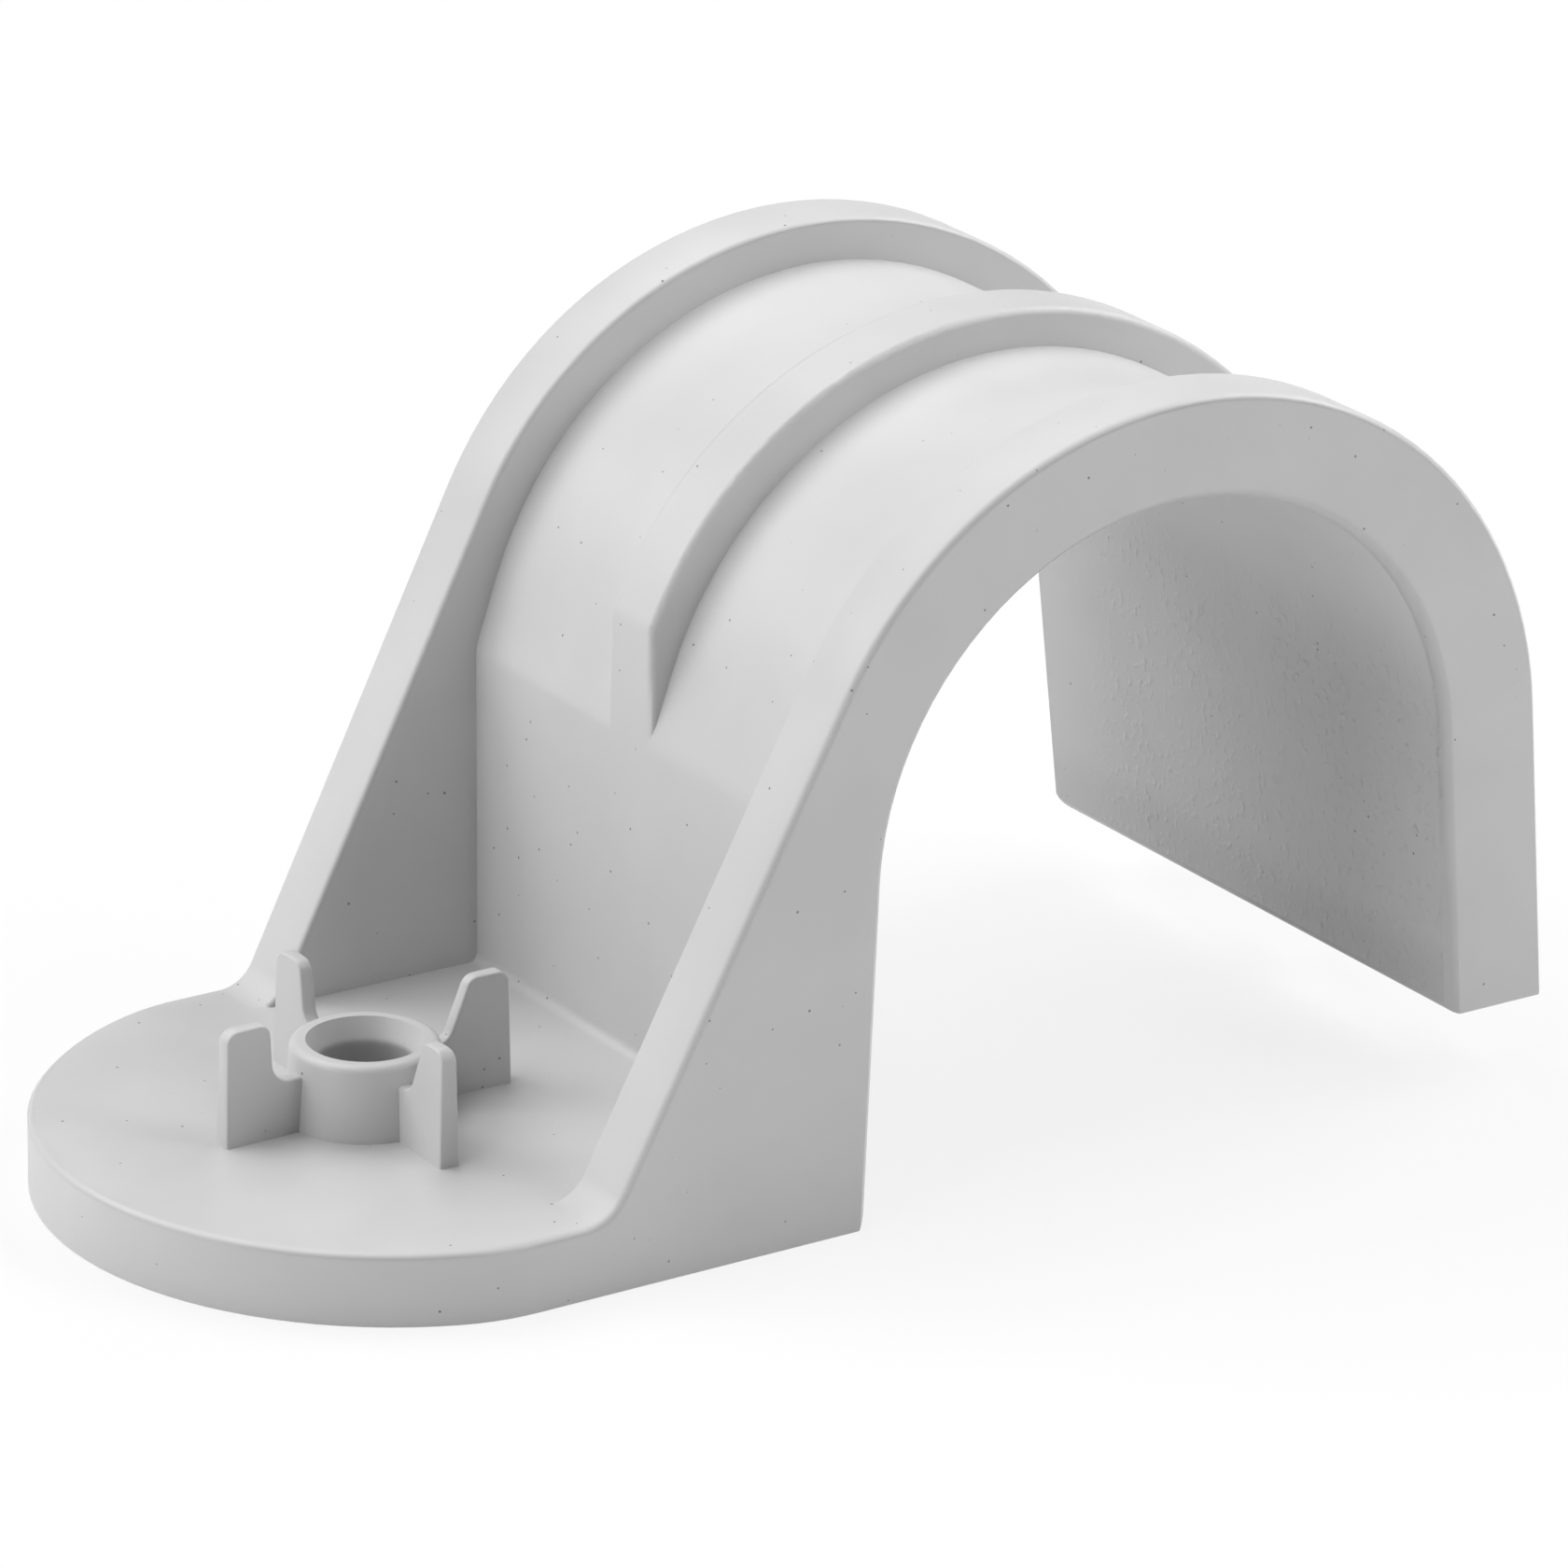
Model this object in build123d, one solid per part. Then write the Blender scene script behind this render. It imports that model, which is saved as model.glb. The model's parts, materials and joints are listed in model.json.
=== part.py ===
from build123d import *
import math
import os

# One-hole conduit clip: a flat pad with a fixing hole, and an arch that holds the conduit down.
# The origin is on the axis of the fixing hole, on the mounting plane.
# X runs from the hole to the free leg, Y along the conduit and Z away from the wall.
# Sizes are in millimetres and angles in degrees.

# Channel for the conduit
conduit_d = 25.0          # outer diameter of the conduit, which fills the channel
channel_x = 26.1          # from the fixing hole to the middle of the channel
channel_z = 13.2          # height of the centre of the channel's arch
wall_draft = 0.6          # lean of the fixed wall, which opens the channel downwards
leg_flare = 6.3           # lean of the free leg, away from the conduit
leg_gap = 2.7             # from the mounting plane to the end of the free leg

# Arch, wall and leg between the ribs
shell_t = 2.3             # thickness over the conduit and of the free leg
wall_t = 2.4              # thickness of the upright wall
shoulder_deg = 71.0       # slope at which the arch comes down to the wall
shoulder_r = 2.0          # rounding where the arch meets the wall
wall_foot_r = 0.4         # rounding where the wall meets the pad

# The two outer ribs, which become gussets on the pad
crown_t = 3.95            # thickness over the conduit, rib included
crown_r = 17.05           # radius of the crown of the ribs
crown_from_deg = 40.0     # the crown's arc, as angles from X
crown_to_deg = 115.0
gusset_deg = 63.0         # slope of the gussets
toe_x = 2.3               # where the slope, drawn on, meets the top of the pad
toe_r = 1.6               # hollow rounding of the gusset's toe
leg_t = 4.4               # thickness of the free leg, ribs included
rib_t = 2.7               # thickness of an outer rib at the mounting plane
rib_lean = 1.15           # lean of the rib's inner face

# The middle rib
mid_rib_t = 2.9           # thickness at its root
mid_rib_draft = 3.0       # taper of each side
mid_rib_drop = 0.2        # how much lower it is than the outer ribs

# End faces
body_w = 25.9             # over both end faces, at the mounting plane
end_lean = 1.45           # the end faces lean outwards towards the crown

# Pad
pad_t = 2.8               # thickness
pad_end_r = 13.3          # radius of the pad's round end
pad_end_x = 1.2           # centre of the round end, from the fixing hole
pad_corner_r = 8.0        # rounding between the round end and the straight sides

# Fixing hole and the tube that guides the nail
bore_d = 3.4              # through hole
mouth_d = 4.36            # mouth of the funnel above the bore
mouth_depth = 1.0         # depth of the funnel
tube_d = 6.0              # outer diameter of the tube at the pad
tube_h = 2.9              # height of the tube above the pad
tube_draft = 5.0          # taper of the tube
tube_rim_r = 0.3          # rounding of the tube's rim

# The four guide fins around the tube
fin_h = 4.45              # height above the pad
fin_t = 0.85              # thickness of the tips at the pad
fin_root_t = 0.66         # thickness beside the tube
fin_draft = 1.2           # taper of each side and of the tip
fin_step_h = 2.1          # height of the low part beside the tube
fin_hollow_r = 0.75       # hollow rounding from the low part to the tall one
fin_top_r = 0.5           # rounding of the tall part's corners
fins = {                  # by direction: length beyond the tube, of that the low part, lean of the step
    0: (3.05, 0.35, 22.0),
    90: (2.9, 0.85, 9.0),
    180: (3.05, 1.0, 3.0),
    270: (2.9, 0.5, 22.0),
}

# Bevelled and rounded edges
edge_c = 0.25             # bevel around the outer outline of the end faces and the rim of the pad
channel_edge_c = 0.42     # bevel where the channel meets the end faces
rib_edge_c = 0.2          # bevel on the inner top edges of the outer ribs
mid_rib_edge_r = 0.3      # rounding of the middle rib's top edges
mid_rib_end_r = 1.0       # rounding from the middle rib's end to its top
fin_edge_c = 0.09         # bevel on the edges of the fins
leg_inner_r = 0.5         # inner corner of the free leg's end
wall_corner_r = 0.55      # corner of the channel at the mounting plane

# Worked-out sizes
conduit_r = conduit_d / 2
body_end = body_w / 2
crown_z = channel_z + conduit_r + crown_t - crown_r
core_t = min(shell_t, wall_t) / 2
pad_core = pad_t / 2
lap = 0.05                # short flat left past a hollow rounding
clearance = 5.0           # how far cutters and blanks run past the part
reach = channel_x + conduit_r + clearance * 4   # length of cutters that cross the whole part
match = 0.01              # how close an edge lies to the line that picks it


def polar(centre, radius, angle):
    """Point at an angle from X, in the plane of the section."""
    a = math.radians(angle)
    return centre[0] + radius * math.cos(a), centre[1] + radius * math.sin(a)


def at_height(point, normal_deg, z):
    """Point at height z on the straight line through a point, square to a direction."""
    lean = math.tan(math.radians(normal_deg))
    return point[0] - (z - point[1]) * lean, z


def at_distance(point, normal_deg, x):
    """Point at distance x on the straight line through a point, square to a direction."""
    lean = math.tan(math.radians(normal_deg))
    return x, point[1] - (x - point[0]) / lean


def side_arc(centre, radius, joint_deg, line_point, normal_deg):
    """Arc that leaves another arc at an angle and runs into a straight line: centre and radius."""
    turn = math.cos(math.radians(joint_deg - normal_deg))
    n = math.radians(normal_deg)
    reach = (line_point[0] - centre[0]) * math.cos(n) + (line_point[1] - centre[1]) * math.sin(n)
    r = (reach - turn * radius) / (1 - turn)
    return polar(centre, radius - r, joint_deg), r


def over_ribs(drop):
    """Outline over the crown of a rib, as a curve in the middle plane."""
    return Plane.XZ * (Curve() + rib_line(drop)["arcs"])


def lies_on(edge, curve):
    """True where an edge, seen along Y, lies on a curve in the middle plane."""
    points = [edge @ k for k in (0.1, 0.5, 0.9)]
    along = abs((edge % 0.5).Y) < 0.5
    return along and all(curve.distance_to(Vertex(p.X, 0, p.Z)) < match for p in points)


def section(*edges):
    """Flat section in the XZ plane from edges drawn with Z as their Y."""
    return Plane.XZ * make_face(Curve() + list(edges))


def prism(face, half_width):
    """Section carried to both sides of the middle plane."""
    return extrude(face, half_width, both=True)


def leaning_block(half_width, lean, bottom, top):
    """Block between two faces that lean away from the middle plane by the same angle."""
    spread = math.tan(math.radians(lean))
    low, high = half_width + bottom * spread, half_width + top * spread
    outline = Polyline((-low, bottom), (low, bottom), (high, top), (-high, top), close=True)
    return extrude(Plane.YZ * make_face(outline), reach, both=True)


def arc_points(centre, radius, start, end):
    """Arc through its start, its middle and its end angle."""
    points = [polar(centre, radius, a) for a in (start, (start + end) / 2, end)]
    return ThreePointArc(*points)


def channel_line(offset):
    """Named points of the channel's outline, moved outwards into the material."""
    centre = (channel_x, channel_z)
    radius = conduit_r + offset
    wall_deg = 180 - wall_draft
    leg_start = polar(centre, radius, leg_flare)
    wall_start = polar(centre, radius, wall_deg)
    return {
        "centre": centre,
        "radius": radius,
        "wall_deg": wall_deg,
        "leg_start": leg_start,
        "leg_end": at_height(leg_start, leg_flare, leg_gap),
        "wall_start": wall_start,
        "wall_end": at_height(wall_start, wall_deg, 0),
    }


def rib_line(drop):
    """Points and arcs of the outline over a rib, lowered by a drop."""
    centre = (channel_x, crown_z)
    radius = crown_r - drop
    slope_deg = 90 + gusset_deg
    slope_foot = polar((toe_x, pad_t), -drop, slope_deg)
    leg_point = polar(channel_line(0)["leg_start"], leg_t - drop, leg_flare)
    slope_arc = side_arc(centre, radius, crown_to_deg, slope_foot, slope_deg)
    leg_arc = side_arc(centre, radius, crown_from_deg, leg_point, leg_flare)
    return {
        "slope_foot": slope_foot,
        "slope_top": polar(*slope_arc, slope_deg),
        "leg_top": polar(*leg_arc, leg_flare),
        "leg_end": at_height(leg_point, leg_flare, leg_gap),
        "arcs": [
            arc_points(*slope_arc, slope_deg, crown_to_deg),
            arc_points(centre, radius, crown_to_deg, crown_from_deg),
            arc_points(*leg_arc, crown_from_deg, leg_flare),
        ],
    }


def round_corner(face, point, radius):
    """Section with one corner rounded."""
    corner = face.vertices().sort_by_distance(Vector(point[0], 0, point[1]))[0]
    return fillet(corner, radius)


def make_shell():
    """Upright wall, arch and free leg between the ribs, over the whole width."""
    inner = channel_line(0)
    outer = channel_line(shell_t)
    wall_x = inner["wall_start"][0] - wall_t
    slope_start = polar(outer["centre"], outer["radius"], 90 + shoulder_deg)
    shoulder = at_distance(slope_start, 90 + shoulder_deg, wall_x)
    foot = (wall_x, pad_t)
    low_foot = (wall_x - wall_foot_r - lap, pad_core)
    face = section(
        Line(inner["wall_end"], inner["wall_start"]),
        arc_points(inner["centre"], inner["radius"], inner["wall_deg"], leg_flare),
        Line(inner["leg_start"], inner["leg_end"]),
        Line(inner["leg_end"], outer["leg_end"]),
        Line(outer["leg_end"], outer["leg_start"]),
        arc_points(outer["centre"], outer["radius"], leg_flare, 90 + shoulder_deg),
        Polyline(slope_start, shoulder, foot, (low_foot[0], pad_t), low_foot, (wall_x, pad_core)),
        Polyline((wall_x, pad_core), (wall_x, 0), inner["wall_end"]),
    )
    face = round_corner(face, foot, wall_foot_r)
    face = round_corner(face, shoulder, shoulder_r)
    return prism(face, body_w)


def rib_section():
    """Section of an outer rib and its gusset, rooted in the pad, the wall and the arch."""
    line = rib_line(0)
    core = channel_line(core_t)
    toe_angle = math.radians(gusset_deg / 2)
    toe_end = (toe_x - toe_r * math.tan(toe_angle) - lap, pad_t)
    core_end = core["leg_end"]
    face = section(
        Polyline((toe_end[0], pad_core), toe_end, (toe_x, pad_t), line["slope_top"]),
        *line["arcs"],
        Polyline(line["leg_top"], line["leg_end"], core_end, core["leg_start"]),
        arc_points(core["centre"], core["radius"], leg_flare, core["wall_deg"]),
        Polyline(core["wall_start"], (core["wall_start"][0], pad_core), (toe_end[0], pad_core)),
    )
    return round_corner(face, (toe_x, pad_t), toe_r)


def make_outer_rib():
    """The rib on the far side, with its inner top edge bevelled."""
    outer = leaning_block(body_end, end_lean, -clearance, crown_z + crown_r + clearance)
    inner = leaning_block(body_end - rib_t, rib_lean, -clearance, crown_z + crown_r + clearance)
    both_ribs = prism(rib_section(), body_w) & outer
    rib = (both_ribs - inner).solids().sort_by(Axis.Y)[-1]
    inner_face = rib.faces().sort_by(Axis.Y)[0]
    crown = over_ribs(0)
    return rib.chamfer(rib_edge_c, None, [e for e in inner_face.edges() if lies_on(e, crown)])


def make_middle_rib():
    """The rib in the middle: a tapered section along the arch, cut to the outline over the ribs."""
    line = rib_line(mid_rib_drop)
    core = channel_line(core_t)
    root = channel_line(shell_t)
    wall_x = channel_line(0)["wall_start"][0] - wall_t
    slope_start = polar(root["centre"], root["radius"], 90 + shoulder_deg)
    below = at_height(root["leg_start"], leg_flare, leg_gap - clearance)
    outline = section(
        Polyline((core["wall_start"][0], pad_t), line["slope_foot"], line["slope_top"]),
        *line["arcs"],
        Polyline(line["leg_top"], line["leg_end"], core["leg_end"], core["leg_start"]),
        arc_points(core["centre"], core["radius"], leg_flare, core["wall_deg"]),
        Line(core["wall_start"], (core["wall_start"][0], pad_t)),
    )
    sides = (Align.MIN, Align.CENTER, Align.CENTER)
    beyond_wall = Pos(wall_x, 0) * Box(reach, body_w, reach * 2, align=sides)
    before = at_distance(slope_start, 90 + shoulder_deg, wall_x - clearance)
    path = Plane.XZ * (Curve() + [
        Line(before, slope_start),
        arc_points(root["centre"], root["radius"], 90 + shoulder_deg, leg_flare),
        Line(root["leg_start"], below),
    ])
    spread = math.tan(math.radians(mid_rib_draft))
    low, high = -shell_t + core_t, crown_t
    half_low, half_high = mid_rib_t / 2 - low * spread, mid_rib_t / 2 - high * spread
    start = Vector(before[0], 0, before[1])
    along = Vector(slope_start[0], 0, slope_start[1]) - start
    frame = Plane(start, x_dir=(0, 1, 0), z_dir=along)
    profile = Polyline((-half_low, low), (half_low, low), (half_high, high), (-half_high, high), close=True)
    blank = sweep(frame * make_face(profile), path.edges())
    rib = (prism(outline, body_w) & blank & beyond_wall).solids()[0]
    end_top = rib.faces().sort_by(Axis.X)[0].edges().sort_by(Axis.Z)[-1]
    rib = rib.fillet(mid_rib_end_r, [end_top])
    crown = over_ribs(mid_rib_drop)
    return rib.fillet(mid_rib_edge_r, [e for e in rib.edges() if lies_on(e, crown)])


def make_pad():
    """Plate with a round end, which widens or narrows to the end faces ahead of the gussets."""
    spread = math.tan(math.radians(end_lean))
    end = Pos(pad_end_x, 0) * Circle(pad_end_r)
    length = channel_x - conduit_r - core_t
    sides = Rectangle(length, body_w + 2 * pad_t * spread, align=(Align.MIN, Align.CENTER))
    beyond = Pos(length, 0) * Rectangle(reach, reach, align=(Align.MIN, Align.CENTER))
    return extrude(make_hull([*end.edges(), *sides.edges()]) - beyond, pad_t)


def make_tube():
    """Tube around the fixing hole, rooted in the pad."""
    foot = tube_d / 2
    top = foot - tube_h * math.tan(math.radians(tube_draft))
    profile = Polyline((0, pad_core), (foot, pad_core), (foot, pad_t), (top, pad_t + tube_h),
                       (0, pad_t + tube_h), close=True)
    tube = revolve(Plane.XZ * make_face(profile), Axis.Z)
    rim = tube.edges().group_by(Axis.Z)[-1]
    return fillet(rim, tube_rim_r)


def make_bore():
    """Cutter for the bore and the funnel at its mouth."""
    top = pad_t + tube_h
    r, mouth = bore_d / 2, mouth_d / 2
    profile = Polyline((0, -clearance), (r, -clearance), (r, top - mouth_depth), (mouth, top),
                       (mouth, top + clearance), (0, top + clearance), close=True)
    return revolve(Plane.XZ * make_face(profile), Axis.Z)


def make_fin(direction):
    """One fin: low beside the tube, tall at the tip, and wider there."""
    length, low_length, lean = fins[direction]
    tip = tube_d / 2 + length
    start = tube_d / 2 + low_length
    top = pad_t + fin_h
    step = pad_t + fin_step_h
    spread = math.tan(math.radians(fin_draft))
    tip_top = tip - fin_h * spread
    tall_top = start + (fin_h - fin_step_h) * math.tan(math.radians(lean))
    root = (mouth_d + tube_d) / 4
    outline = Polyline((root, pad_core), (tip, pad_core), (tip, pad_t), (tip_top, top),
                       (tall_top, top), (start, step), (root, step), close=True)
    face = Plane.XZ * make_face(outline)
    face = round_corner(face, (start, step), fin_hollow_r)
    face = round_corner(face, (tall_top, top), fin_top_r)
    face = round_corner(face, (tip_top, top), fin_top_r)
    fin = prism(face, fin_t)
    growth = (fin_t - fin_root_t) / 2 / length
    for side in (-1, 1):
        foot = (tip, side * fin_t / 2, pad_t)
        fin = split(fin, Plane(foot, z_dir=(-growth, side, spread)), keep=Keep.BOTTOM)
    fin = chamfer([e for e in fin.edges() if is_fin_edge(e)], fin_edge_c)
    return Rot(0, 0, direction) * fin


def is_fin_edge(edge):
    """True for the edges of a fin's sides that stand free of the pad and the tube."""
    at = edge @ 0.5
    across = abs((edge % 0.5).Y)
    return across < 0.5 and at.Z > pad_t and at.X > tube_d / 2 - fin_t and abs(at.Y) > match


def on_end_face(edge):
    """True for an edge that lies on one of the two end faces."""
    spread = math.tan(math.radians(end_lean))
    points = [edge @ k for k in (0.1, 0.5, 0.9)]
    return all(abs(abs(p.Y) - body_end - p.Z * spread) < match for p in points)


def is_pad_corner(edge):
    """True for the upright edges between the pad's round end and its straight sides."""
    upright = abs((edge % 0.5).Z) > 0.9
    return upright and on_end_face(edge) and (edge @ 0.5).X < toe_x


def on_channel(edge):
    """True for an edge along the channel's outline, on one of the two end faces."""
    inner = channel_line(0)
    line = Plane.XZ * (Curve() + [
        Line(inner["wall_end"], inner["wall_start"]),
        arc_points(inner["centre"], inner["radius"], inner["wall_deg"], leg_flare),
        Line(inner["leg_start"], inner["leg_end"]),
    ])
    points = [edge @ k for k in (0.1, 0.5, 0.9)]
    return on_end_face(edge) and all(line.distance_to(Vertex(p.X, 0, p.Z)) < match for p in points)


def on_leg_end(edge):
    """True for an edge around the end of the free leg."""
    return abs((edge @ 0.5).Z - leg_gap) < match and abs((edge % 0.5).Z) < 0.5


def edges_across(body, point):
    """Edges along Y through a point of the middle plane."""
    found = []
    for edge in body.edges():
        middle = edge @ 0.5
        near = math.hypot(middle.X - point[0], middle.Z - point[1]) < match
        if near and abs((edge % 0.5).Y) > 0.9:
            found.append(edge)
    return found


def rim_edges(body):
    """Edges around the end faces and around the top of the pad, but not on the mounting plane."""
    found = []
    for edge in body.edges():
        points = [edge @ k for k in (0.1, 0.5, 0.9)]
        on_round = all(abs(math.hypot(p.X - pad_end_x, p.Y) - pad_end_r) < match for p in points)
        on_top = all(abs(p.Z - pad_t) < match for p in points)
        side_seam = abs((edge % 0.5).Z) > 0.9 and points[1].X < toe_x
        on_end = on_end_face(edge) and points[1].Z > match and not side_seam
        if (on_end and not on_channel(edge) and not on_leg_end(edge)) or (on_round and on_top):
            found.append(edge)
    return found


def make_clip():
    """The whole moulding."""
    top = crown_z + crown_r + clearance
    ends = leaning_block(body_end, end_lean, -clearance, top)
    rib = make_outer_rib()
    body = (make_pad() + make_shell()) & ends
    body = body + rib + mirror(rib, Plane.XZ)
    corners = [e for e in body.edges() if is_pad_corner(e)]
    body = fillet(corners, pad_corner_r)
    body = chamfer(rim_edges(body), edge_c)
    body = chamfer([e for e in body.edges() if on_channel(e)], channel_edge_c)
    channel = channel_line(0)
    body = fillet(edges_across(body, channel["leg_end"]), leg_inner_r)
    body = fillet(edges_across(body, channel["wall_end"]), wall_corner_r)
    body = body + make_middle_rib()
    body = body + make_tube() + [make_fin(direction) for direction in fins]
    return body - make_bore()


clip = make_clip()
os.makedirs("parts", exist_ok=True)
export_step(clip, "parts/saddle_clip.step")
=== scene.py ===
import json
import math

import bpy
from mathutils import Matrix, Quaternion, Vector

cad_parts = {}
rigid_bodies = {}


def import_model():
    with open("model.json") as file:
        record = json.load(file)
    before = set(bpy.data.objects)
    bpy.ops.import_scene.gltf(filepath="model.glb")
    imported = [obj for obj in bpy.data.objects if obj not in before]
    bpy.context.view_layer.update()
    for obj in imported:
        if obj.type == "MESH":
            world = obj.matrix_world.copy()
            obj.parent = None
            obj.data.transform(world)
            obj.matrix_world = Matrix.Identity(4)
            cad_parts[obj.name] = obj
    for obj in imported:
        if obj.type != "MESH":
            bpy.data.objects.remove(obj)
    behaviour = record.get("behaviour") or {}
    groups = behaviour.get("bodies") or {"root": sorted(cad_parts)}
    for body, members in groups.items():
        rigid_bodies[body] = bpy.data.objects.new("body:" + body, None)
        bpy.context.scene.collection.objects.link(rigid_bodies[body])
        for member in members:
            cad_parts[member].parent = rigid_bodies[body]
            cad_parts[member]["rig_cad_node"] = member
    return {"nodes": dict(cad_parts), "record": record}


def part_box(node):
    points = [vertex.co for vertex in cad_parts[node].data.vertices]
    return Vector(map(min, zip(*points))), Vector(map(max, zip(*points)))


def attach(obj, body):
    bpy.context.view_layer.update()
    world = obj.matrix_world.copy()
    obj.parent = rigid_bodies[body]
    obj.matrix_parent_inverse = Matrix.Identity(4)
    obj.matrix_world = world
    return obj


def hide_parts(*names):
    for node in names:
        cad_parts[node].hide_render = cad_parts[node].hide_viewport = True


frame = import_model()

bl_info = {
    "name": "Conduit Saddle Clip",
    "version": (1, 0, 0),
    "blender": (4, 5, 0),
    "location": "3D View > Sidebar > Saddle Clip",
    "description": "A moulded saddle clip for round conduit, with its finish and its studio",
    "category": "Object",
}

SOLID = "saddle_clip"
PIECE = "clip_moulding"
MM = 0.001

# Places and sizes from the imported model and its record
LOW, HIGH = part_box(SOLID)
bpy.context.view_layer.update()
MOUNTS = {mount["name"]: mount for mount in frame["record"]["mounts"]}
CHANNEL = Vector(MOUNTS["conduit_seat"]["pos_m"])
CHANNEL_RADIUS = MOUNTS["conduit_seat"]["dims"]["r_mm"] * MM
BORE_RADIUS = MOUNTS["fixing_hole"]["dims"]["r_mm"] * MM
BASE_GREY = frame["record"]["materials"][0]["base_color"][0]
LEG_END = 2.7 * MM              # height of the free leg's end above the wall

# The soft-edged copy
WELD = 0.001 * MM               # points nearer than this become one
SAME_PLANE = math.radians(0.3)  # facets that turn less than this are joined
SOFT_EDGE = math.radians(50)    # edges that turn less than this shade as rounds

# The rounded corner of the free leg
CORNER_RADIUS = 1.6 * MM
CORNER_SPAN = 12 * CORNER_RADIUS
CORNER_SLACK = 0.02 * MM        # how far the tool stands past the leg's face
CORNER_LEVEL = WELD * 10        # points this near the lowest one count as the leg's end
CORNER_SIDES = 64

# Masks on the plastic
LEG_FACE_DEPTH = 0.15           # reach of the leg's inner face, in channel radii
LEG_FACE_START = -0.9           # x of the normal where the mask sets in
LEG_FACE_FULL = -0.985          # x of the normal where the mask is full
SPECKLESS = 0.3                 # share of the cells that have no speck
SPECK_CORE = 0.4                # fully dark part of a speck's radius
SPECK_DEPTH = 0.75
# Painted shade on the hole's wall fades out up the funnel between these two radii
BORE_FADE_START = 1.08          # in radii of the hole
BORE_FADE_END = 1.02
BAND_EDGE_SIZE = 0.5            # size of the band's uneven edge, in cloud sizes

# Relief and gloss of the plastic
NOISE_SWING = (0.3, 0.7)        # noise values that count as lowest and highest
BLISTER_SWING = (0.52, 0.8)
BLISTER_STRETCH = (1.0, 1.0, 0.8)
RIPPLE_SIZE = 4                 # in blister sizes
RIPPLE_SHARE = 0.6
PATCH_SIZE = 0.7                # in cloud sizes
PATCH_SWING = (0.32, 0.55)
PATCH_LEAST = 0.3               # depth of the blisters between the patches
REAR_SMOOTH = 0.85              # smooth from here to the rear, in half widths
REAR_ROUGH = 0.4                # full blisters from here to the front
GLOSS_SIZE = 1.7                # in wave sizes
GLOSS_SPREAD = 0.05
LEG_DULLNESS = 0.1
PLASTIC_IOR = 1.49
PLASTIC_SPECULAR = 0.45

# The studio, in lengths of the clip's diagonal where no unit is named
FLOOR_SIZE = 60
FLOOR_GAP = 0.02 * MM
LAMP_PLACES = {
    "top_left_lamp": (-2.5, 0.0, 4.0),
    "top_back_lamp": (0.0, 2.5, 4.0),
    "right_lamp": (4.0, 0.0, 3.0),
    "front_lamp": (3.0, -3.0, 3.0),
    "back_lamp": (-3.0, 3.0, 3.0),
    "low_lamp": (-5.0, 0.0, 0.6),
}
SENSOR_WIDTH = 36               # millimetres, as the camera's lens
NEAR_END = 0.05                 # of the camera's distance
FAR_END = 20
WHITE = (1.0, 1.0, 1.0, 1.0)


def share(name, description, default):
    return bpy.props.FloatProperty(
        name=name, description=description, default=default, min=0, max=1, subtype="FACTOR")


def length(name, description, default):
    return bpy.props.FloatProperty(
        name=name, description=description, default=default, unit="LENGTH", subtype="DISTANCE")


def power(name, description, default):
    return bpy.props.FloatProperty(
        name=name, description=description, default=default, min=0, unit="POWER")


def angle(name, description, degrees):
    return bpy.props.FloatProperty(
        name=name, description=description, default=math.radians(degrees),
        subtype="ANGLE", unit="ROTATION")


class SaddleClipFinish(bpy.types.PropertyGroup):
    """Colour and surface of the moulded plastic."""

    grey: share("Grey", "Lightness of the plastic", BASE_GREY)
    gloss: share("Roughness", "Roughness of the moulded skin", 0.42)
    cloud_size: length("Cloud size", "Size of the faint clouds in the colour", 9 * MM)
    cloud_depth: share("Cloud depth", "How much the clouds change the colour", 0.03)
    grain_size: length("Grain size", "Size of the fine grain of the skin", 0.16 * MM)
    grain_height: length("Grain height", "Height of the fine grain", 0.0022 * MM)
    wave_size: length("Wave size", "Size of the waves left by the cooling plastic", 5 * MM)
    wave_height: length("Wave height", "Height of the shallow waves", 0.012 * MM)
    pit_size: length("Blister size", "Width of the blisters inside the free leg", 0.32 * MM)
    pit_height: length("Blister height", "Height of the blisters inside the free leg", 0.045 * MM)
    speck_spacing: length("Speck spacing", "Average distance between dark specks", 0.7 * MM)
    speck_radius: length("Speck radius", "Largest radius of a dark speck", 0.07 * MM)
    band_height: length("Band height", "Height of the dark band along the leg's end", 2.4 * MM)
    band_depth: share("Band depth", "How much darker that band is", 0.1)
    # Painted shade: how much the hole's wall is darkened in colour, in place of the shade inside
    # the bore
    painted_bore_shade_depth: share("Bore depth", "How much darker the hole's wall is", 0.35)


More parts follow.
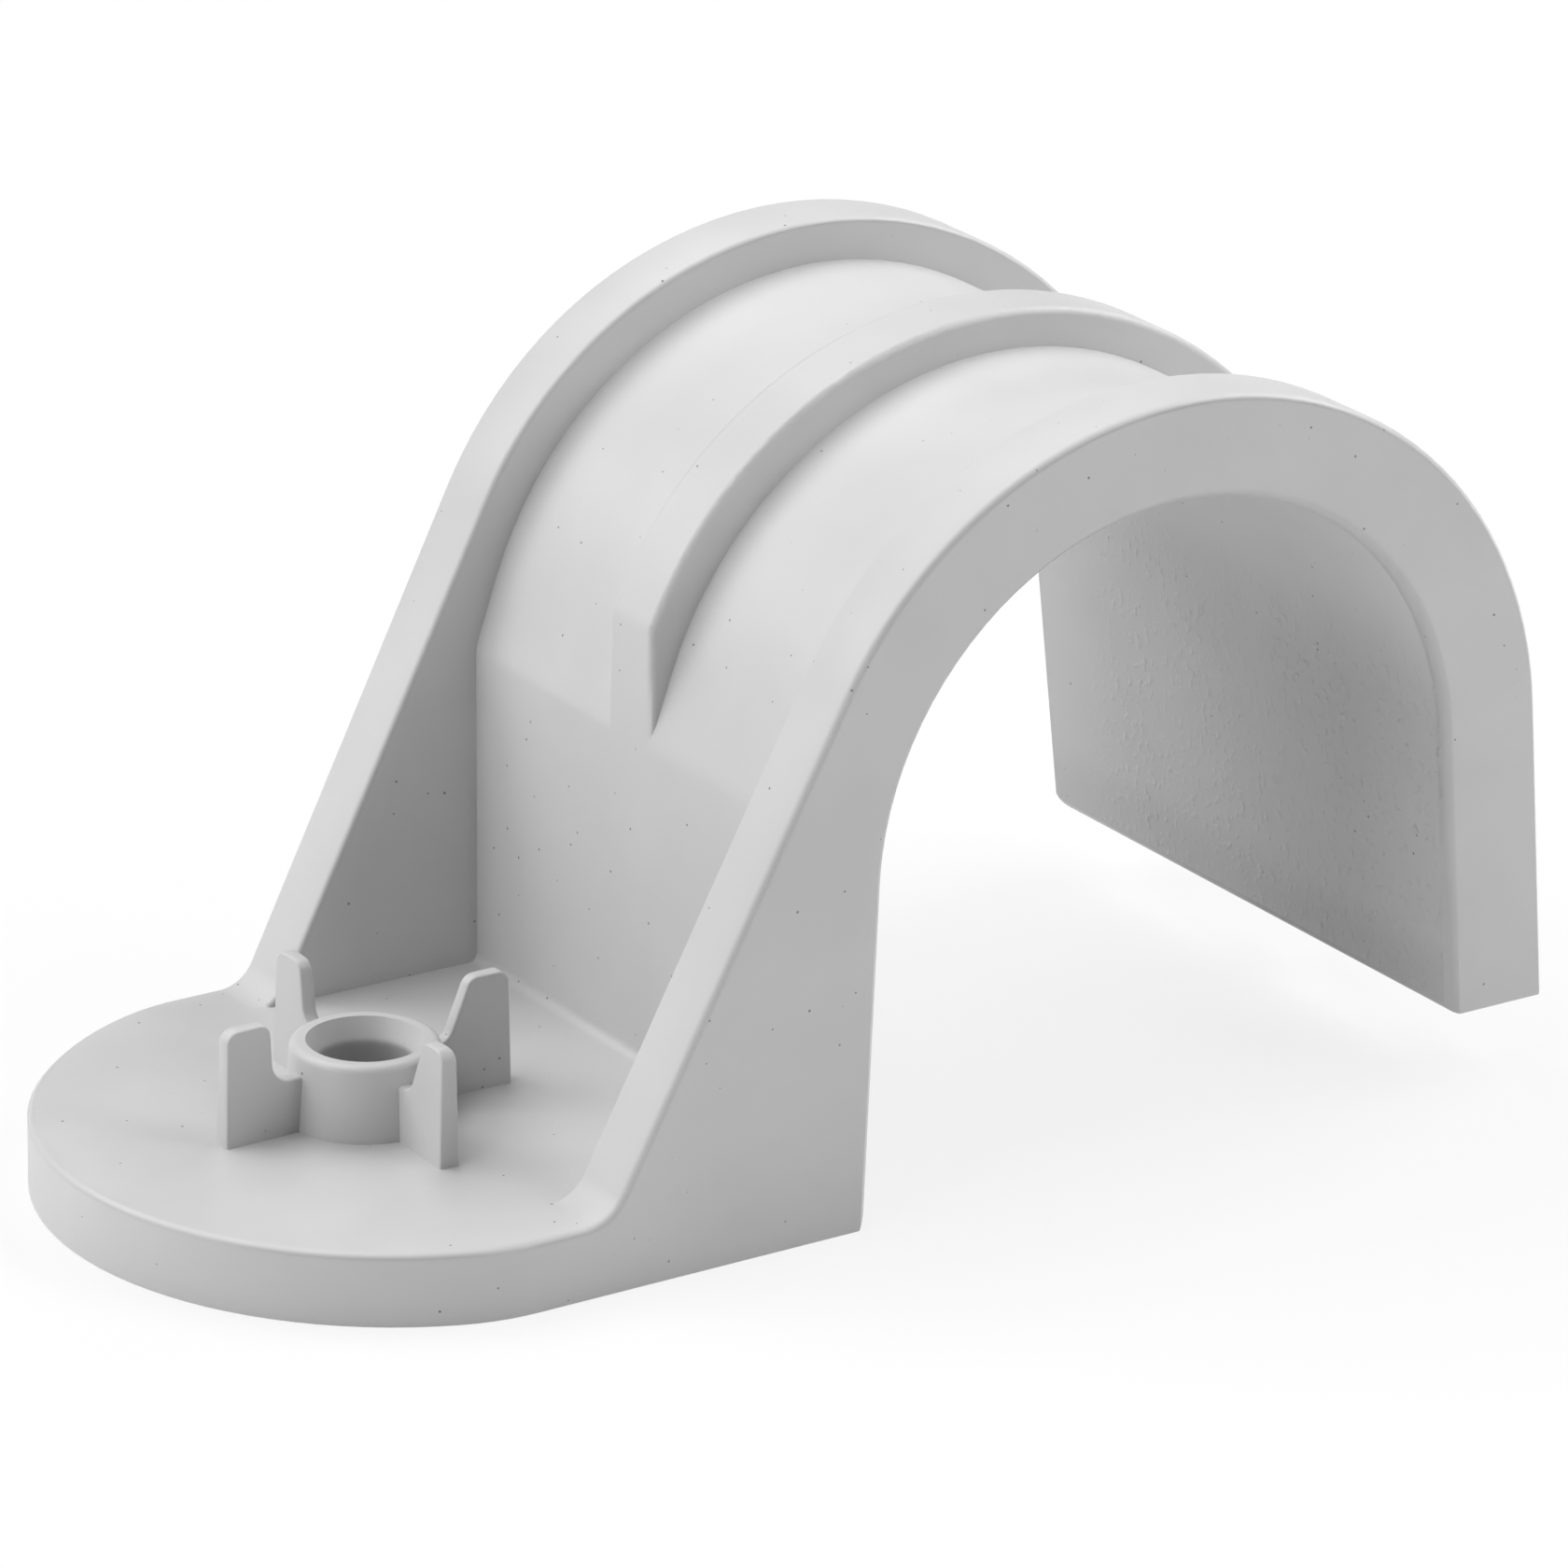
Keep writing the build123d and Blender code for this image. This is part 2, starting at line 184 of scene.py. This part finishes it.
class SaddleClipStudio(bpy.types.PropertyGroup):
    """Floor, lamps and camera."""

    floor_grey: share("Floor", "Lightness of the floor", 0.8)
    backdrop: share("White of the floor", "Share of white that the camera sees in the floor", 0.8)
    room_light: bpy.props.FloatProperty(
        name="Room light", description="Strength of the light from all around", default=0.02,
        min=0)
    top_left_lamp: power("Top left lamp", "Power of the high lamp on the left", 0.41)
    top_back_lamp: power("Top back lamp", "Power of the high lamp behind", 0.389)
    right_lamp: power("Right lamp", "Power of the lamp on the right", 0.692)
    front_lamp: power("Front lamp", "Power of the lamp in front on the right", 0.534)
    back_lamp: power("Back lamp", "Power of the lamp behind on the left", 0.493)
    low_lamp: power("Low lamp", "Power of the low lamp on the left", 0.3)
    lamp_size: bpy.props.FloatProperty(
        name="Lamp size", description="Side of a lamp, in lengths of the clip's diagonal",
        default=3.0, min=0.1)
    aim: bpy.props.FloatVectorProperty(
        name="Aim", description="Point that the camera looks at", size=3,
        default=(18.11 * MM, 0.0, 12.03 * MM), subtype="TRANSLATION", unit="LENGTH")
    azimuth: angle("Azimuth", "Camera's turn about the clip", -34.131)
    elevation: angle("Elevation", "Camera's height as an angle", 21.007)
    roll: angle("Roll", "Camera's tilt about its own axis", 1.206)
    distance: length("Distance", "From the camera to its aim", 323.26 * MM)
    lens: bpy.props.FloatProperty(
        name="Lens", description="Focal length", default=200.07, min=1, unit="CAMERA")


class NodeSheet:
    """A material's node tree, written from the back to the front."""

    def __init__(self, name):
        self.material = bpy.data.materials.new(name)
        self.material.use_nodes = True
        self.tree = self.material.node_tree
        self.tree.nodes.clear()

    def node(self, kind, inputs=None, **settings):
        made = self.tree.nodes.new(kind)
        for key, value in settings.items():
            setattr(made, key, value)
        for key, value in (inputs or {}).items():
            if isinstance(value, bpy.types.NodeSocket):
                self.tree.links.new(value, made.inputs[key])
            else:
                made.inputs[key].default_value = value
        return made

    def math(self, operation, first, second=0.0, third=0.0):
        inputs = {0: first, 1: second, 2: third}
        return self.node("ShaderNodeMath", inputs, operation=operation).outputs[0]

    def ramp(self, value, low, high, start=0.0, end=1.0):
        """A smooth step of a value from one number to another."""
        inputs = {"Value": value, "From Min": low, "From Max": high, "To Min": start, "To Max": end}
        settings = {"interpolation_type": "SMOOTHSTEP"}
        return self.node("ShaderNodeMapRange", inputs, **settings).outputs["Result"]

    def noise(self, place, size, detail, roughness):
        inputs = {"Vector": place, "Scale": 1 / size, "Detail": detail, "Roughness": roughness}
        return self.node("ShaderNodeTexNoise", inputs).outputs["Fac"]


def even_normals(mesh):
    """Turns each corner's normal towards the largest faces around it.

    Flat faces then stay flat, and the narrow bevels between them look round.
    """
    around = {}
    for face in mesh.polygons:
        for vertex in face.vertices:
            around.setdefault(vertex, []).append(face)
    normals = [Vector() for corner in mesh.loops]
    for face in mesh.polygons:
        for corner in face.loop_indices:
            for other in around[mesh.loops[corner].vertex_index]:
                if face.normal.angle(other.normal) < SOFT_EDGE:
                    normals[corner] += other.normal * other.area
            normals[corner].normalize()
    mesh.normals_split_custom_set(normals)


def pick(piece):
    """Selects one piece alone and makes it the active one."""
    bpy.ops.object.select_all(action="DESELECT")
    piece.select_set(True)
    bpy.context.view_layer.objects.active = piece


def cut_away(piece, tool):
    """Subtracts a tool from a piece and removes the tool."""
    pick(piece)
    cut = piece.modifiers.new("cut", "BOOLEAN")
    cut.operation = "DIFFERENCE"
    cut.solver = "EXACT"
    cut.object = tool
    bpy.ops.object.modifier_apply(modifier=cut.name)
    bpy.data.objects.remove(tool)


def round_rear_corner(piece):
    """Rounds the free leg's lower corner at the rear, with a bar that has a round hollow."""
    beyond = CHANNEL.x + CHANNEL_RADIUS
    leg = [vertex.co for vertex in piece.data.vertices if vertex.co.x > beyond]
    end = min(place.z for place in leg)
    rear = max(place.y for place in leg if place.z < end + CORNER_LEVEL) + CORNER_SLACK
    middle = sum(place.x for place in leg) / len(leg)
    bpy.ops.mesh.primitive_cube_add(
        size=1, location=(middle, rear, end),
        scale=(CORNER_SPAN, 2 * CORNER_RADIUS, 2 * CORNER_RADIUS))
    bar = bpy.context.object
    bpy.ops.mesh.primitive_cylinder_add(
        vertices=CORNER_SIDES, radius=CORNER_RADIUS, depth=2 * CORNER_SPAN,
        location=(middle, rear - CORNER_RADIUS, end + CORNER_RADIUS),
        rotation=(0, math.radians(90), 0))
    cut_away(bar, bpy.context.object)
    cut_away(piece, bar)


def soft_copy(solid, name):
    """Copy of a CAD solid in one skin, with narrow bevels that shade as soft rounds."""
    pick(solid)
    bpy.ops.object.duplicate()
    piece = bpy.context.object
    piece.name = name
    piece.data.name = name
    del piece["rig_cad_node"]
    bpy.ops.object.parent_clear(type="CLEAR_KEEP_TRANSFORM")
    bpy.ops.object.mode_set(mode="EDIT")
    bpy.ops.mesh.select_all(action="SELECT")
    bpy.ops.mesh.customdata_custom_splitnormals_clear()
    bpy.ops.mesh.remove_doubles(threshold=WELD)
    bpy.ops.object.mode_set(mode="OBJECT")
    round_rear_corner(piece)
    bpy.ops.object.mode_set(mode="EDIT")
    bpy.ops.mesh.select_all(action="SELECT")
    bpy.ops.mesh.dissolve_limited(angle_limit=SAME_PLANE)
    bpy.ops.object.mode_set(mode="OBJECT")
    if len(piece.data.polygons) == 0:
        raise RuntimeError("the copy of the moulding has no faces")
    bpy.ops.object.shade_smooth()
    even_normals(piece.data)
    return piece


def leg_face(sheet, axes):
    """Mask of the free leg's inner face: one on the face, zero elsewhere."""
    facing = sheet.node("ShaderNodeNewGeometry").outputs["Normal"]
    inward = sheet.node("ShaderNodeSeparateXYZ", {0: facing}).outputs["X"]
    within = sheet.math(
        "COMPARE", axes["X"], CHANNEL.x + CHANNEL_RADIUS, CHANNEL_RADIUS * LEG_FACE_DEPTH)
    return sheet.math("MULTIPLY", sheet.ramp(inward, LEG_FACE_START, LEG_FACE_FULL), within)


def specks(sheet, place, finish):
    """Mask of a few small dark specks, scattered over the moulding."""
    spacing = finish.speck_spacing
    cells = sheet.node("ShaderNodeTexVoronoi", {"Vector": place, "Scale": 1 / spacing})
    reach = sheet.math("MULTIPLY", cells.outputs["Distance"], spacing)
    chance = sheet.node("ShaderNodeSeparateColor", {0: cells.outputs["Color"]}).outputs[0]
    radius = sheet.ramp(chance, SPECKLESS, 1.0, 0.0, finish.speck_radius)
    return sheet.ramp(reach, radius, sheet.math("MULTIPLY", radius, SPECK_CORE))


def painted_bore_shade(sheet, axes):
    """Mask of the painted shade on the hole's wall: one in the bore, fading out up the funnel."""
    flat = sheet.node("ShaderNodeCombineXYZ", {0: axes["X"], 1: axes["Y"]}).outputs[0]
    radius = sheet.node("ShaderNodeVectorMath", {0: flat}, operation="LENGTH").outputs["Value"]
    return sheet.ramp(radius, BORE_RADIUS * BORE_FADE_START, BORE_RADIUS * BORE_FADE_END)


def leg_band(sheet, place, axes, leg, finish):
    """Mask of the band along the free leg's end, with an uneven upper edge."""
    edge = sheet.noise(place, finish.cloud_size * BAND_EDGE_SIZE, detail=3.0, roughness=0.6)
    level = sheet.math("MULTIPLY_ADD", edge, -finish.band_height, axes["Z"])
    foot = LEG_END + finish.band_height
    return sheet.math("MULTIPLY", leg, sheet.ramp(level, foot, foot - finish.band_height))


def plastic_grey(sheet, place, axes, leg, finish):
    """Grey with faint clouds, darker in the specks and the band, and with painted shade in the
    bore.
    """
    clouds = sheet.noise(place, finish.cloud_size, detail=3.0, roughness=0.55)
    shade = sheet.ramp(clouds, *NOISE_SWING, 1 - finish.cloud_depth, 1 + finish.cloud_depth)
    band = leg_band(sheet, place, axes, leg, finish)
    dark = sheet.math("MULTIPLY", specks(sheet, place, finish), SPECK_DEPTH)
    dark = sheet.math("MULTIPLY_ADD", band, finish.band_depth, dark)
    # Painted shade: the bore's wall is made darker in the colour itself
    dark = sheet.math("MULTIPLY_ADD", painted_bore_shade(sheet, axes), finish.painted_bore_shade_depth, dark)
    undarkened = sheet.math("SUBTRACT", 1.0, dark)
    return sheet.math("MULTIPLY", sheet.math("MULTIPLY", shade, undarkened), finish.grey)


def plastic_height(sheet, place, axes, leg, finish):
    """Height of fine grain and shallow waves, with blisters and ripples inside the leg."""
    grain = sheet.noise(place, finish.grain_size, detail=2.0, roughness=0.6)
    waves = sheet.noise(place, finish.wave_size, detail=1.0, roughness=0.4)
    stretched = sheet.node(
        "ShaderNodeMapping", {"Vector": place, "Scale": BLISTER_STRETCH}).outputs[0]
    blisters = sheet.noise(stretched, finish.pit_size, detail=1.0, roughness=0.5)
    ripples = sheet.noise(stretched, finish.pit_size * RIPPLE_SIZE, detail=1.0, roughness=0.5)
    skin = sheet.math("MULTIPLY_ADD", ripples, RIPPLE_SHARE, sheet.ramp(blisters, *BLISTER_SWING))
    patches = sheet.noise(place, finish.cloud_size * PATCH_SIZE, detail=1.0, roughness=0.5)
    uneven = sheet.ramp(patches, *PATCH_SWING, PATCH_LEAST)
    rear = sheet.ramp(axes["Y"], HIGH.y * REAR_SMOOTH, HIGH.y * REAR_ROUGH)
    depth = sheet.math("MULTIPLY", sheet.math("MULTIPLY", leg, rear), uneven)
    depth = sheet.math("MULTIPLY", depth, finish.pit_height)
    height = sheet.math("MULTIPLY", grain, finish.grain_height)
    height = sheet.math("MULTIPLY_ADD", waves, finish.wave_height, height)
    return sheet.math("MULTIPLY_ADD", skin, depth, height)


def moulded_plastic(finish):
    """Light grey plastic, semi-matt, with an eroded skin inside the free leg."""
    sheet = NodeSheet("moulded grey plastic")
    place = sheet.node("ShaderNodeTexCoord").outputs["Object"]
    axes = sheet.node("ShaderNodeSeparateXYZ", {0: place}).outputs
    leg = leg_face(sheet, axes)
    grey = plastic_grey(sheet, place, axes, leg, finish)
    colour = sheet.node("ShaderNodeCombineColor", {0: grey, 1: grey, 2: grey}).outputs[0]
    height = plastic_height(sheet, place, axes, leg, finish)
    relief = sheet.node(
        "ShaderNodeBump", {"Height": height, "Distance": 1.0, "Strength": 1.0}).outputs[0]
    glossy = sheet.noise(place, finish.wave_size * GLOSS_SIZE, detail=2.0, roughness=0.5)
    rough = sheet.ramp(
        glossy, *NOISE_SWING, finish.gloss - GLOSS_SPREAD, finish.gloss + GLOSS_SPREAD)
    rough = sheet.math("MULTIPLY_ADD", leg, LEG_DULLNESS, rough)
    shader = sheet.node("ShaderNodeBsdfPrincipled", {
        "Base Color": colour, "Roughness": rough, "Normal": relief, "IOR": PLASTIC_IOR,
        "Specular IOR Level": PLASTIC_SPECULAR})
    sheet.node("ShaderNodeOutputMaterial", {"Surface": shader.outputs[0]})
    return sheet.material


def white_floor(studio):
    """Pale floor that the camera sees nearly white, with the shadow of the clip."""
    sheet = NodeSheet("pale floor")
    rays = sheet.node("ShaderNodeLightPath").outputs
    seen = sheet.math("MAXIMUM", rays["Is Camera Ray"], rays["Is Glossy Ray"])
    grey = (studio.floor_grey, studio.floor_grey, studio.floor_grey, 1.0)
    matt = sheet.node("ShaderNodeBsdfDiffuse", {"Color": grey}).outputs[0]
    white = sheet.node("ShaderNodeEmission", {"Color": WHITE, "Strength": 1.0}).outputs[0]
    cover = sheet.math("MULTIPLY", seen, studio.backdrop)
    mixed = sheet.node("ShaderNodeMixShader", {0: cover, 1: matt, 2: white}).outputs[0]
    sheet.node("ShaderNodeOutputMaterial", {"Surface": mixed})
    return sheet.material


def white_room(studio):
    """Faint even light from all around, which the camera sees as white."""
    world = bpy.data.worlds.new("white room")
    world.use_nodes = True
    tree = world.node_tree
    tree.nodes.clear()
    rays = tree.nodes.new("ShaderNodeLightPath")
    level = tree.nodes.new("ShaderNodeMapRange")
    level.inputs["To Min"].default_value = studio.room_light
    level.inputs["To Max"].default_value = 1.0
    light = tree.nodes.new("ShaderNodeBackground")
    light.inputs["Color"].default_value = WHITE
    end = tree.nodes.new("ShaderNodeOutputWorld")
    tree.links.new(rays.outputs["Is Camera Ray"], level.inputs["Value"])
    tree.links.new(level.outputs["Result"], light.inputs["Strength"])
    tree.links.new(light.outputs[0], end.inputs["Surface"])
    bpy.context.scene.world = world


def soft_lamp(name, watts, size, place, target):
    """Square area lamp that faces a point."""
    bpy.ops.object.light_add(type="AREA", location=place)
    lamp = bpy.context.object
    lamp.name = name
    lamp.data.shape = "SQUARE"
    lamp.data.size = size
    lamp.data.energy = watts
    lamp.rotation_euler = (target - place).to_track_quat("-Z", "Y").to_euler()


def view_camera(studio):
    """Camera at the photograph's angle: turned about the clip, raised and rolled."""
    turn, rise = studio.azimuth, studio.elevation
    flat = math.cos(rise)
    back = Vector((math.sin(turn) * flat, -math.cos(turn) * flat, math.sin(rise)))
    bpy.ops.object.camera_add(location=Vector(studio.aim) + back * studio.distance)
    camera = bpy.context.object
    camera.name = "photograph's view"
    camera.rotation_mode = "QUATERNION"
    upright = (-back).to_track_quat("-Z", "Y")
    camera.rotation_quaternion = upright @ Quaternion((0.0, 0.0, 1.0), studio.roll)
    camera.data.lens = studio.lens
    camera.data.sensor_width = SENSOR_WIDTH
    camera.data.clip_start = studio.distance * NEAR_END
    camera.data.clip_end = studio.distance * FAR_END
    bpy.context.scene.camera = camera


class SADDLECLIP_OT_moulding(bpy.types.Operator):
    """Makes the moulding with soft edges and its plastic"""

    bl_idname = "saddle_clip.moulding"
    bl_label = "Moulding"

    def execute(self, context):
        finish = context.scene.saddle_clip_finish
        piece = soft_copy(frame["nodes"][SOLID], PIECE)
        piece.data.materials.clear()
        piece.data.materials.append(moulded_plastic(finish))
        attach(piece, "root")
        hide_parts(SOLID)
        return {"FINISHED"}


class SADDLECLIP_OT_studio(bpy.types.Operator):
    """Sets up the floor, the lamps and the camera"""

    bl_idname = "saddle_clip.studio"
    bl_label = "Studio"

    def execute(self, context):
        studio = context.scene.saddle_clip_studio
        middle = (LOW + HIGH) / 2
        reach = (HIGH - LOW).length
        bpy.ops.object.select_all(action="DESELECT")
        bpy.ops.mesh.primitive_plane_add(
            size=reach * FLOOR_SIZE, location=(middle.x, middle.y, LOW.z - FLOOR_GAP))
        floor = context.object
        floor.name = "floor"
        bpy.ops.object.transform_apply(location=True, rotation=False, scale=False)
        floor.data.materials.append(white_floor(studio))
        white_room(studio)
        for name, place in LAMP_PLACES.items():
            soft_lamp(
                name.replace("_", " "), getattr(studio, name), studio.lamp_size * reach,
                middle + Vector(place) * reach, middle)
        view_camera(studio)
        context.scene.view_settings.view_transform = "Standard"
        return {"FINISHED"}


class SADDLECLIP_PT_panel(bpy.types.Panel):
    """Finish and studio of the saddle clip"""

    bl_label = "Saddle Clip"
    bl_idname = "SADDLECLIP_PT_panel"
    bl_space_type = "VIEW_3D"
    bl_region_type = "UI"
    bl_category = "Saddle Clip"

    def draw(self, context):
        layout = self.layout
        for group, title in ((context.scene.saddle_clip_finish, "Plastic"),
                             (context.scene.saddle_clip_studio, "Studio")):
            box = layout.box()
            box.label(text=title)
            for name in group.__annotations__:
                box.prop(group, name)
        layout.operator(SADDLECLIP_OT_moulding.bl_idname)
        layout.operator(SADDLECLIP_OT_studio.bl_idname)


CLASSES = (
    SaddleClipFinish,
    SaddleClipStudio,
    SADDLECLIP_OT_moulding,
    SADDLECLIP_OT_studio,
    SADDLECLIP_PT_panel,
)


def register():
    for cls in CLASSES:
        bpy.utils.register_class(cls)
    bpy.types.Scene.saddle_clip_finish = bpy.props.PointerProperty(type=SaddleClipFinish)
    bpy.types.Scene.saddle_clip_studio = bpy.props.PointerProperty(type=SaddleClipStudio)


def unregister():
    del bpy.types.Scene.saddle_clip_studio
    del bpy.types.Scene.saddle_clip_finish
    for cls in reversed(CLASSES):
        bpy.utils.unregister_class(cls)


def main():
    register()
    bpy.ops.saddle_clip.moulding()
    bpy.ops.saddle_clip.studio()


if __name__ == "__main__":
    main()
